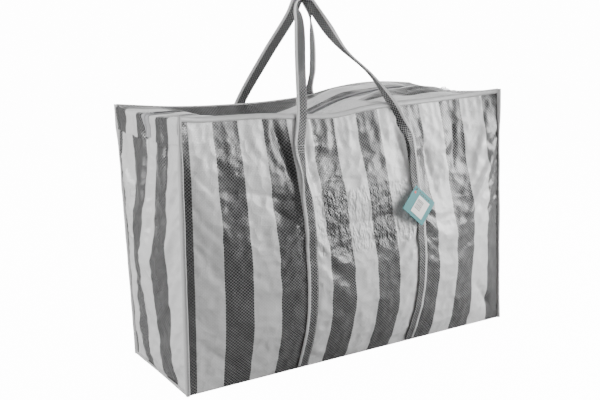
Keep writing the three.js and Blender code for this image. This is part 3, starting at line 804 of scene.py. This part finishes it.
# ---- repeated small parts: zip teeth and stitches -----------------------------------------------
def repeat_group():
    """Small beads set along curves at even steps, turned to the line."""
    tree = bpy.data.node_groups.new("beads_along_line", "GeometryNodeTree")
    socket(tree, "Lines", "NodeSocketGeometry")
    socket(tree, "Step", "NodeSocketFloat", value=0.004)
    socket(tree, "Bead", "NodeSocketVector")
    socket(tree, "Material", "NodeSocketMaterial")
    socket(tree, "Beads", "NodeSocketGeometry", "OUTPUT")
    nodes, links = tree.nodes, tree.links
    given, out = nodes.new("NodeGroupInput"), nodes.new("NodeGroupOutput")
    even = nodes.new("GeometryNodeResampleCurve")
    even.mode = "LENGTH"
    links.new(given.outputs["Lines"], even.inputs["Curve"])
    links.new(given.outputs["Step"], even.inputs["Length"])
    tangent = nodes.new("GeometryNodeInputTangent")
    turn = nodes.new("FunctionNodeAlignRotationToVector")
    turn.axis = "X"
    links.new(tangent.outputs[0], turn.inputs["Vector"])
    bead = nodes.new("GeometryNodeMeshUVSphere")
    bead.inputs["Segments"].default_value = 6
    bead.inputs["Rings"].default_value = 4
    bead.inputs["Radius"].default_value = 0.5
    place = nodes.new("GeometryNodeInstanceOnPoints")
    links.new(even.outputs["Curve"], place.inputs["Points"])
    links.new(bead.outputs["Mesh"], place.inputs["Instance"])
    links.new(turn.outputs["Rotation"], place.inputs["Rotation"])
    links.new(given.outputs["Bead"], place.inputs["Scale"])
    real = nodes.new("GeometryNodeRealizeInstances")
    links.new(place.outputs["Instances"], real.inputs["Geometry"])
    finish = nodes.new("GeometryNodeSetMaterial")
    links.new(real.outputs["Geometry"], finish.inputs["Geometry"])
    links.new(given.outputs["Material"], finish.inputs["Material"])
    links.new(finish.outputs["Geometry"], out.inputs["Beads"])
    return tree


BEADS = repeat_group()


def beads(name, lines, step, size, material, body=None, stands_for=()):
    """A plain mesh of beads along the given lines of points."""
    curve = bpy.data.curves.new(name, "CURVE")
    curve.dimensions = "3D"
    for line in lines:
        spline = curve.splines.new("POLY")
        spline.points.add(len(line) - 1)
        spline.points.foreach_set("co", np.c_[line, np.ones(len(line))].ravel())
    maker = link(bpy.data.objects.new(name + "_lines", curve))
    modifier = maker.modifiers.new("beads", "NODES")
    modifier.node_group = BEADS
    names = {item.name: item.identifier for item in BEADS.interface.items_tree
             if item.in_out == "INPUT"}
    modifier[names["Step"]] = step
    modifier[names["Bead"]] = size
    modifier[names["Material"]] = material
    graph = bpy.context.evaluated_depsgraph_get()
    mesh = bpy.data.meshes.new_from_object(maker.evaluated_get(graph), depsgraph=graph)
    bpy.data.objects.remove(maker)
    mesh.name = name
    mesh.polygons.foreach_set("use_smooth", [True] * len(mesh.polygons))
    obj = link(bpy.data.objects.new(name, mesh))
    return give(obj, material, body, stands_for)


for side, face in ((-1, "front"), (1, "back")):
    for end, end_name in ((-1, "left"), (1, "right")):
        s = np.linspace(0.001, END - 0.012, 90)
        line = top_point(side, end, s, np.full_like(s, 0.021)) + [0, 0, 0.0022]
        stands = [f"{end_name}_{face}_end_coil"] + ([f"{face}_zip_coil"] if end < 0 else [])
        row = beads(f"{face}_{end_name}_coil_teeth", [line], 0.0017, (0.0011, 0.0036, 0.0024),
                    coil_plastic, None, stands)
        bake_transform(row)


# ---- the handles: each one folded strap, sewn up a face, free above it, and sewn down again -----
def strap(name, centres, across, width, thick):
    """A closed strip of folded strap with rounded edges, slightly thicker along its edges."""
    ways = unit(np.gradient(centres, axis=0))
    across = unit(across - (across * ways).sum(-1, keepdims=True) * ways)
    normal = np.cross(across, ways)
    share = np.array([0, 0.04, 0.14, 0.24, 0.32, 0.5, 0.7, 0.86, 0.96, 1.0])
    half = thick / 2 * np.array([0.35, 0.9, 1.05, 0.95, 0.75, 0.8, 0.85, 1.0, 0.9, 0.35])
    spans = (np.ones(len(centres)) * width)[:, None]
    top = [centres + across * (k - 0.5) * spans + normal * h for k, h in zip(share, half)]
    under = [centres + across * (k - 0.5) * spans - normal * h
             for k, h in zip(share[::-1], half[::-1])]
    ring = np.stack(top + under, 1)
    n, m = ring.shape[:2]
    length = np.concatenate([[0], np.cumsum(np.linalg.norm(np.diff(centres, axis=0), axis=1))])
    place = np.concatenate([share, share[::-1]]) * STRAP_WIDTH
    uv = np.stack(np.meshgrid(length, place, indexing="ij")[::-1], -1)
    faces = []
    for k in range(m):
        nxt = (k + 1) % m
        a = np.arange(n - 1) * m
        faces.append(np.stack([a + k, a + nxt, a + m + nxt, a + m + k], 1))
    faces = np.concatenate(faces).tolist()
    faces += [list(range(m))[::-1], [(n - 1) * m + k for k in range(m)]]
    return plain_mesh(name, ring, faces, uv)


# By face: (share of the free length, degrees that the strap is turned about the upright).
STRAP_TURNS = {-1: [(0, 0), (0.25, 0), (0.36, 8), (0.42, 40), (0.46, 110), (0.50, 150),
                    (0.58, 146), (0.64, 112), (0.70, 84), (0.80, 82), (0.88, 110), (1, 180)],
               1: [(0, 0), (0.1, -14), (0.2, -28), (0.42, -38), (0.5, -60), (0.56, -110),
                   (0.64, -142), (0.85, -160), (1, -180)]}
# Where the two legs cross the rim, and points of the free loop between the crossings.
RIM_LEGS = {-1: (-0.1055, 0.0985), 1: (-0.101, 0.070)}
HIGH_LEGS = {-1: [(-0.096, -0.1008, 0.573), (-0.066, -0.052, 0.644), (-0.050, -0.020, 0.688),
                  (-0.036, -0.0145, 0.703), (-0.022, -0.017, 0.686), (0.022, -0.066, 0.5975),
                  (0.066, -0.096, 0.547)],
             1: [(-0.069, 0.068, 0.586), (-0.036, 0.027, 0.662), (-0.028, 0.016, 0.690),
                 (-0.018, 0.0145, 0.702), (0.000, 0.024, 0.678), (0.040, 0.070, 0.612),
                 (0.058, 0.098, 0.548)]}


def swing_with_handle(obj):
    """Bakes the piece's transform into its mesh."""
    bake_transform(obj)


def free_route(side):
    """The line of one free handle, from one strap exit over the top to the other."""
    rim = shapes["front" if side < 0 else "back"][:, -1]
    leg = []
    for place, rim_x in zip(STRAP_PLACES, RIM_LEGS[side]):
        rim_y = np.interp(rim_x, rim[:, 0], rim[:, 1])
        rim_z = np.interp(rim_x, rim[:, 0], rim[:, 2])
        low = on_face(side, place, STRAP_EXIT + 0.004, 0.0022)
        between = on_face(side, (place + rim_x) / 2, 0.454, 0.005)
        crossing = np.array([rim_x, rim_y + side * 0.0055, rim_z + 0.002])
        leg.append([low, between, crossing])
    return route(leg[0] + HIGH_LEGS[side] + leg[1][::-1], 0.004)


for side, face in ((-1, "front"), (1, "back")):
    free = free_route(side)
    share = np.linspace(0, 1, len(free))
    turn = np.radians(through(STRAP_TURNS[side], share))
    free_across = np.stack([np.cos(turn), np.sin(turn), np.zeros_like(turn)], -1)
    runs = []
    for place in STRAP_PLACES:
        heights = np.arange(0.005, STRAP_EXIT, 0.004)
        rows = np.array([[on_face(side, place + k * STRAP_WIDTH, z, 0.0018)
                          for k in (-0.5, -0.25, 0, 0.25, 0.5)] for z in heights])
        centre = smoothed(rows.mean(1), 6)
        centre[:, 1] = (centre[:, 1] + side * np.abs(rows[..., 1]).max(1)) / 2
        runs.append((centre, smoothed(unit(rows[:, -1] - rows[:, 0]), 8) * -np.sign(place)))
    centres = np.concatenate([runs[0][0], free, runs[1][0][::-1]])
    across = np.concatenate([runs[0][1], free_across, runs[1][1][::-1]])
    for start in (len(runs[0][0]), len(centres) - len(runs[1][0])):
        joint = slice(start - 6, start + 6)
        centres[joint] = smoothed(centres[joint], 12)
        across[joint] = smoothed(across[joint], 12)
    # Below each exit the cloth folds over the strap, so that less of its width shows.
    pinch = 1 - 0.55 * np.exp(-((centres[:, 2] - 0.375) / 0.028) ** 2) * (centres[:, 0] < 0.05)
    pinch -= 0.35 * np.exp(-((centres[:, 2] - 0.400) / 0.02) ** 2) * (centres[:, 0] > 0.05)
    obj = strap(f"{face}_strap", centres, across, STRAP_WIDTH * pinch, STRAP_THICK)
    give(obj, strap_cloth, None,
         [f"{face}_handle", f"{face}_left_sewn_strap", f"{face}_right_sewn_strap"])
    swing_with_handle(obj)
    rows, seams = [], []
    for centre, way in runs:
        outward = unit(np.cross(np.gradient(centre, axis=0), way))
        outward *= np.sign(outward[:, 1:2] * side)
        proud = centre + outward * (STRAP_THICK / 2 + 0.0003)
        low = centre[:, 2] < 0.33
        seams += [(proud + way * k * STRAP_WIDTH)[low] for k in (-0.36, 0.36)]
        rows += [np.linspace(proud[i] - way[i] * 0.009, proud[i] + way[i] * 0.009, 8)
                 for i in (-2, -1)]
        rows += [proud[-1] + [0, side * 0.001, k] + np.linspace(-0.009, 0.009, 8)[:, None] * way[-1]
                 for k in (0.005, 0.009)]
    beads(f"{face}_strap_stitches", seams, 0.0045, (0.0030, 0.0009, 0.0008), thread,
          "bag")
    knots = beads(f"{face}_strap_knots", rows, 0.0016, (0.0022, 0.0022, 0.0012), thread)
    swing_with_handle(knots)

# ---- stitches through the hems and corner bindings ---------------------------------------------
hem_lines = []
for side, kind in ((-1, "front"), (1, "back")):
    rim = shapes[kind]
    hem_lines.append((rim[3:-3, -1] * 0.45 + rim[3:-3, -5] * 0.55) + [0, side * 0.0034, -0.0006])
beads("rim_stitches", hem_lines, 0.0048, (0.0032, 0.0008, 0.0007), thread, "bag")
corner_lines = []
for (end_name, face_name), ((face, fi), (side_kind, si)) in CORNER_EDGES.items():
    edge = shapes[face][fi]
    inner = unit(shapes[face][4 if fi == 0 else -5] - edge)
    outward = np.array([0, -1 if face == "front" else 1, 0])
    corner_lines.append((edge - inner * 0.0006 + outward * 0.0044)[3:-6])
beads("corner_stitches", corner_lines, 0.0055, (0.0034, 0.0008, 0.0008), dark_thread,
      "bag")

for name in ("left_zip_stop", "right_zip_stop", "zip_slider", "zip_pull"):
    give(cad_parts[name], metal)


def printed(name, base, marks, rough):
    """A plain colour with printed boxes: each mark is (middle, half size, colour) on the card."""
    material = plain_material(name, base, rough)
    nodes, links = material.node_tree.nodes, material.node_tree.links
    shader = nodes["Principled BSDF"]
    place = nodes.new("ShaderNodeTexCoord")
    turned = nodes.new("ShaderNodeMapping")
    turned.vector_type = "TEXTURE"
    turned.inputs["Location"].default_value = TAG_MIDDLE
    turned.inputs["Rotation"].default_value = (0, math.radians(TAG_TURN), 0)
    links.new(place.outputs["Object"], turned.inputs["Vector"])
    split = nodes.new("ShaderNodeSeparateXYZ")
    links.new(turned.outputs[0], split.inputs[0])
    colour = shader.inputs["Base Color"].links[0].from_socket
    for (mx, mz), (wide, high), ink in marks:
        near_x = math_node(nodes, links, "COMPARE", split.outputs[0], mx, wide)
        near_z = math_node(nodes, links, "COMPARE", split.outputs[2], mz, high)
        both = math_node(nodes, links, "MULTIPLY", near_x, near_z)
        colour = mix_colour(nodes, links, both, colour, ink)
    links.new(colour, shader.inputs["Base Color"])
    return material


tag_low, tag_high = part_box("tag_card")
TAG_MIDDLE = tuple((a + b) / 2 for a, b in zip(tag_low, tag_high))
TAG_TURN = -45
GREY, RED, INK = (0.10, 0.10, 0.10), (0.70, 0.03, 0.02), (0.004, 0.03, 0.035)
bars = [((-0.009 + 0.0026 * k, 0.001), (0.0006 if k % 3 else 0.0009, 0.0075), GREY)
        for k in range(8)]
card_marks = [((0.0215, 0.0115 - 0.005 * k), (0.0016, 0.0015), INK) for k in range(6)]
card_marks.append(((0.0155, 0.0215), (0.0022, 0.0022), RED))
card = printed("tag_card", (0.002, 0.21, 0.225), card_marks, 0.5)
label = printed("tag_label", (0.86, 0.84, 0.82), bars, 0.5)
give(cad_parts["tag_card"], card)
give(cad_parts["tag_label"], label)
give(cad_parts["tag_loop"], wire)

# ---- stage, light and camera ----------------------------------------------------------------
floor = plain_mesh("floor", [(-6, -6, 0), (6, -6, 0), (6, 6, 0), (-6, 6, 0)], [(0, 1, 2, 3)])
floor_material = bpy.data.materials.new("floor")
floor_material.use_nodes = True
floor_nodes, floor_links = floor_material.node_tree.nodes, floor_material.node_tree.links
floor_shader = floor_nodes["Principled BSDF"]
floor_shader.inputs["Base Color"].default_value = (0.35, 0.35, 0.35, 1)
floor_shader.inputs["Roughness"].default_value = 0.9
floor_path = floor_nodes.new("ShaderNodeLightPath")
floor_glow = math_node(floor_nodes, floor_links, "MULTIPLY", floor_path.outputs["Is Camera Ray"],
                       BACKDROP)
floor_shader.inputs["Emission Color"].default_value = (1, 1, 1, 1)
floor_links.new(floor_glow, floor_shader.inputs["Emission Strength"])
floor.data.materials.append(floor_material)

world = bpy.data.worlds.new("studio")
bpy.context.scene.world = world
world.use_nodes = True
sky_nodes, sky_links = world.node_tree.nodes, world.node_tree.links
sky = sky_nodes["Background"]
sky.inputs[0].default_value = (1, 1, 1, 1)
sky_path = sky_nodes.new("ShaderNodeLightPath")
seen = math_node(sky_nodes, sky_links, "MULTIPLY", sky_path.outputs["Is Camera Ray"], BACKDROP)
sky_links.new(math_node(sky_nodes, sky_links, "ADD", seen, AMBIENT), sky.inputs["Strength"])


def lamp(name, place, aim, size, power):
    """A rectangular soft light at a place, aimed at a point."""
    data = bpy.data.lights.new(name, "AREA")
    data.shape = "RECTANGLE"
    data.size, data.size_y = size
    data.energy = power
    obj = link(bpy.data.objects.new(name, data))
    obj.location = place
    obj.rotation_euler = (Vector(aim) - Vector(place)).to_track_quat("-Z", "Y").to_euler()
    return obj


lamp("right_light", (1.44, -1.02, 0.75), (0.1, 0, 0.25), (0.9, 0.9), 54)
lamp("film_light", (1.35, -2.2, 1.45), (-0.1, 0, 0.4), (0.7, 0.7), 13)
lamp("left_light", (-2.6, 0.4, 1.2), (-0.3, 0, 0.25), (1.2, 1.4), 100)
behind = lamp("backdrop_light", (1.3, 2.1, 1.0), (0, 0, 0.5), (3.2, 1.6), 26)
behind.visible_camera = False
lamp("top_light", (-0.2, 0.2, 2.4), (0, 0, 0.3), (1.6, 1.2), 14)

yaw, pitch, roll = math.radians(31.7), math.radians(12.1), math.radians(-1.1)
forward = Vector((math.sin(yaw) * math.cos(pitch), math.cos(yaw) * math.cos(pitch),
                  -math.sin(pitch)))
level = Vector((math.cos(yaw), -math.sin(yaw), 0))
upright = level.cross(forward)
right = math.cos(roll) * level + math.sin(roll) * upright
up = -math.sin(roll) * level + math.cos(roll) * upright
camera = link(bpy.data.objects.new("camera", bpy.data.cameras.new("camera")))
camera.data.lens = 51.9
camera.data.sensor_width = 36
camera.matrix_world = Matrix((right, up, -forward)).transposed().to_4x4()
camera.location = (-0.938, -1.454, 0.662)
bpy.context.scene.camera = camera
